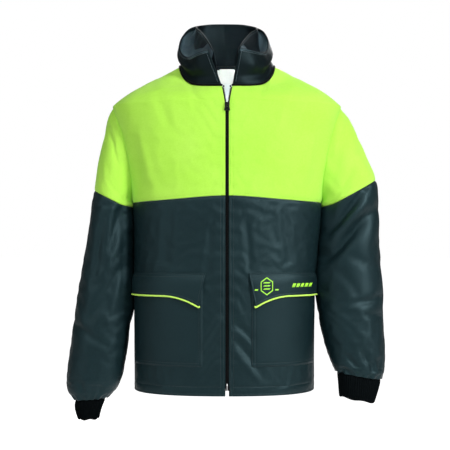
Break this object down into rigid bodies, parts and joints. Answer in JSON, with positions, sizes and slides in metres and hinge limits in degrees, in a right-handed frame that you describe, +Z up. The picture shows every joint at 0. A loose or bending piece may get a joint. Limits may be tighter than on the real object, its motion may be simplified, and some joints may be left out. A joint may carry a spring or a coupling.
{
  "type": "work jacket",
  "caption": "Zip-front work jacket in two colours with a stand-up collar, flapped patch pockets, set-in sleeves and rib-knit cuffs.",
  "frame": {"origin": "middle of the neck opening, level with the side neck points", "axes": "+Z up along the back, -Y out of the zip front, +X towards the wearer's left"},
  "size_m": [0.6972, 0.266, 0.8782],
  "materials": {
    "outer_lime": "fluorescent lime polyester-cotton twill",
    "outer_dark": "dark slate polyester-cotton twill",
    "collar_cloth": "dark twill",
    "lining_cloth": "light grey lining",
    "rib_knit": "black rib knit",
    "zip_tape": "woven zip tape",
    "zip_plastic": "moulded acetal teeth",
    "zip_metal": "black enamelled die casting",
    "label_cloth": "woven label",
    "piping": "bright piping",
    "touch_tape": "hook and loop tape"
  },
  "bodies": {
    "torso": {"back_yoke": "outer_lime", "back_panel": "outer_dark", "back_lining": "lining_cloth", "front_yoke_right": "outer_lime", "front_yoke_left": "outer_lime", "chest_lining_right": "lining_cloth", "chest_lining_left": "lining_cloth", "collar": "collar_cloth", "neck_binding": "zip_tape", "neck_label": "label_cloth", "hanger_loop": "zip_tape", "zip_stop_right": "zip_metal", "zip_stop_left": "zip_metal"},
    "front_right": {"front_panel_right": "outer_dark", "front_lining_right": "lining_cloth", "pocket_right": "outer_dark", "pocket_fastener_right": "touch_tape", "zip_tape_right": "zip_tape", "zip_teeth_right": "zip_plastic", "zip_pin": "zip_metal"},
    "front_left": {"front_panel_left": "outer_dark", "front_lining_left": "lining_cloth", "pocket_left": "outer_dark", "pocket_fastener_left": "touch_tape", "zip_tape_left": "zip_tape", "zip_teeth_left": "zip_plastic", "zip_box": "zip_metal"},
    "zip_slider": {"zip_slider": "zip_metal"},
    "zip_pull": {"zip_pull": "zip_metal"},
    "flap_right": {"pocket_flap_right": "outer_dark", "flap_piping_right": "piping", "flap_fastener_right": "touch_tape"},
    "flap_left": {"pocket_flap_left": "outer_dark", "flap_piping_left": "piping", "flap_fastener_left": "touch_tape"},
    "sleeve_right": {"sleeve_upper_right": "outer_lime", "sleeve_lower_right": "outer_dark", "sleeve_lining_right": "lining_cloth", "cuff_right": "rib_knit"},
    "sleeve_left": {"sleeve_upper_left": "outer_lime", "sleeve_lower_left": "outer_dark", "sleeve_lining_left": "lining_cloth", "cuff_left": "rib_knit"}
  },
  "joints": [
    {"name": "front_right_open", "type": "hinge", "parent": "torso", "child": "front_right", "pos_m": [-0.2065, -0.025, -0.5], "axis": [0, 0, -1], "range_deg": [0, 30], "deforming": ["front_yoke_right", "zip_tape_right", "zip_teeth_right"]},
    {"name": "front_left_open", "type": "hinge", "parent": "torso", "child": "front_left", "pos_m": [0.2065, -0.025, -0.5], "axis": [0, 0, 1], "range_deg": [0, 30], "deforming": ["front_yoke_left", "zip_tape_left", "zip_teeth_left"]},
    {"name": "zip_travel", "type": "slide", "parent": "front_left", "child": "zip_slider", "axis": [0, -0.0432, -0.9991], "range_m": [0, 0.577]},
    {"name": "zip_pull_swing", "type": "hinge", "parent": "zip_slider", "child": "zip_pull", "pos_m": [0, -0.12119, -0.09365], "axis": [-1, 0, 0], "range_deg": [0, 150]},
    {"name": "flap_right_lift", "type": "hinge", "parent": "front_right", "child": "flap_right", "pos_m": [-0.1559, -0.1124, -0.4475], "axis": [-0.8798, 0.4753, 0], "range_deg": [0, 140]},
    {"name": "flap_left_lift", "type": "hinge", "parent": "front_left", "child": "flap_left", "pos_m": [0.1351, -0.1193, -0.4475], "axis": [-0.8639, -0.5037, 0], "range_deg": [0, 140]},
    {"name": "sleeve_right_raise", "type": "hinge", "parent": "torso", "child": "sleeve_right", "pos_m": [-0.235, 0, -0.165], "axis": [0, 1, 0], "range_deg": [0, 35], "deforming": ["sleeve_upper_right"]},
    {"name": "sleeve_left_raise", "type": "hinge", "parent": "torso", "child": "sleeve_left", "pos_m": [0.235, 0, -0.165], "axis": [0, -1, 0], "range_deg": [0, 35], "deforming": ["sleeve_upper_left"]}
  ],
  "couplings": [
    {"joint": "front_left_open", "follows": "front_right_open", "ratio": 1},
    {"joint": "zip_travel", "follows": "front_right_open", "m_per_rad": 1.1}
  ]
}
